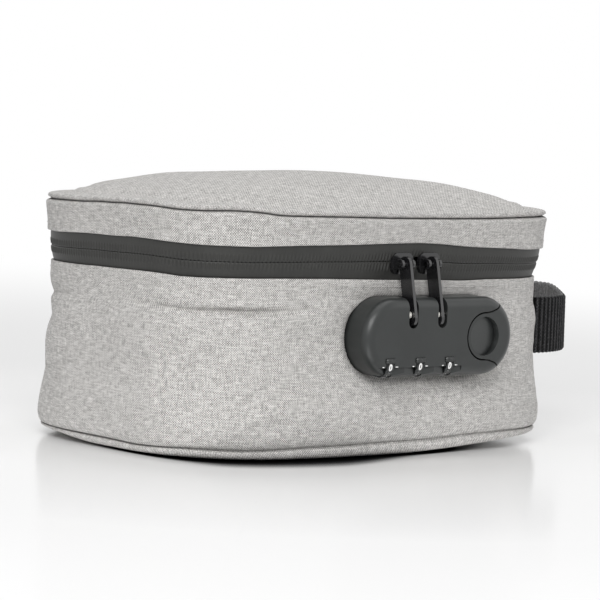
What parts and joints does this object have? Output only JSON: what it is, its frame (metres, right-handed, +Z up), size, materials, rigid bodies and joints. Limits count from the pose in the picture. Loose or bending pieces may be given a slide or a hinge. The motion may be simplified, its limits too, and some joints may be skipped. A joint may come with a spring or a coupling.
{
  "type": "cash deposit bag",
  "caption": "Padded grey fabric cash case with a crowned lid on a cloth hinge, a zip round the front and sides, a combination lock that holds the zip pulls, and a webbing carry handle.",
  "frame": {"origin": "on the resting plane under the middle of the bag", "axes": "+X along the bag towards the carry handle, -Y out of the front with the lock, +Z up"},
  "size_m": [0.2567, 0.1543, 0.1143],
  "materials": {
    "grey_fabric": "heathered grey woven polyester",
    "foam": "closed-cell foam padding",
    "board": "stiff foam board",
    "lining": "smooth dark woven lining",
    "zip_tape": "black woven zip tape",
    "zip_coil": "black nylon coil",
    "black_metal": "black plated, satin",
    "steel": "bright zinc plated",
    "lock_plastic": "dark grey satin moulded",
    "dial_plastic": "dark grey with plain white figures",
    "webbing": "black ribbed webbing"
  },
  "bodies": {
    "base": {"body_wall": "grey_fabric", "wall_foam": "foam", "base_panel": "grey_fabric", "base_board": "board", "tub_lining": "lining", "zip_tape_lower": "zip_tape", "zip_coil_lower": "zip_coil", "hinge_panel": "grey_fabric", "slider_left": "black_metal", "slider_right": "black_metal", "pull_pin_left": "steel", "pull_pin_right": "steel", "lock_base": "lock_plastic", "lock_cover": "lock_plastic", "dial_shaft": "steel", "bolt_keepers": "steel", "return_spring": "steel", "lock_backplate": "steel", "lock_screws": "steel", "handle_strap": "webbing"},
    "lid": {"lid_band": "grey_fabric", "lid_panel": "grey_fabric", "lid_foam": "foam", "lid_lining": "lining", "zip_tape_upper": "zip_tape", "zip_coil_upper": "zip_coil"},
    "dial_1": {"dial_1": "dial_plastic"},
    "dial_2": {"dial_2": "dial_plastic"},
    "dial_3": {"dial_3": "dial_plastic"},
    "button": {"release_button": "lock_plastic", "latch_bar": "steel"},
    "pull_left": {"pull_left": "black_metal"},
    "pull_right": {"pull_right": "black_metal"}
  },
  "joints": [
    {"name": "lid_hinge", "type": "hinge", "parent": "base", "child": "lid", "pos_m": [0, 0.069, 0.08], "axis": [-1, 0, 0], "range_deg": [0, 120]},
    {"name": "dial_1_turn", "type": "hinge", "parent": "base", "child": "dial_1", "pos_m": [-0.0191, -0.07585, 0.0394], "axis": [1, 0, 0], "continuous": true},
    {"name": "dial_2_turn", "type": "hinge", "parent": "base", "child": "dial_2", "pos_m": [-0.0021, -0.07585, 0.0394], "axis": [1, 0, 0], "continuous": true},
    {"name": "dial_3_turn", "type": "hinge", "parent": "base", "child": "dial_3", "pos_m": [0.0149, -0.07585, 0.0394], "axis": [1, 0, 0], "continuous": true},
    {"name": "release_slide", "type": "slide", "parent": "base", "child": "button", "axis": [1, 0, 0], "range_m": [0, 0.004], "stiffness_N_per_m": 250, "springref_m": -0.003, "deforming": ["return_spring"]},
    {"name": "pull_left_swing", "type": "hinge", "parent": "base", "child": "pull_left", "pos_m": [-0.0065, -0.0739, 0.0804], "axis": [-1, 0, 0], "range_deg": [0, 150]},
    {"name": "pull_right_swing", "type": "hinge", "parent": "base", "child": "pull_right", "pos_m": [0.0089, -0.0739, 0.0804], "axis": [-1, 0, 0], "range_deg": [0, 150]}
  ]
}
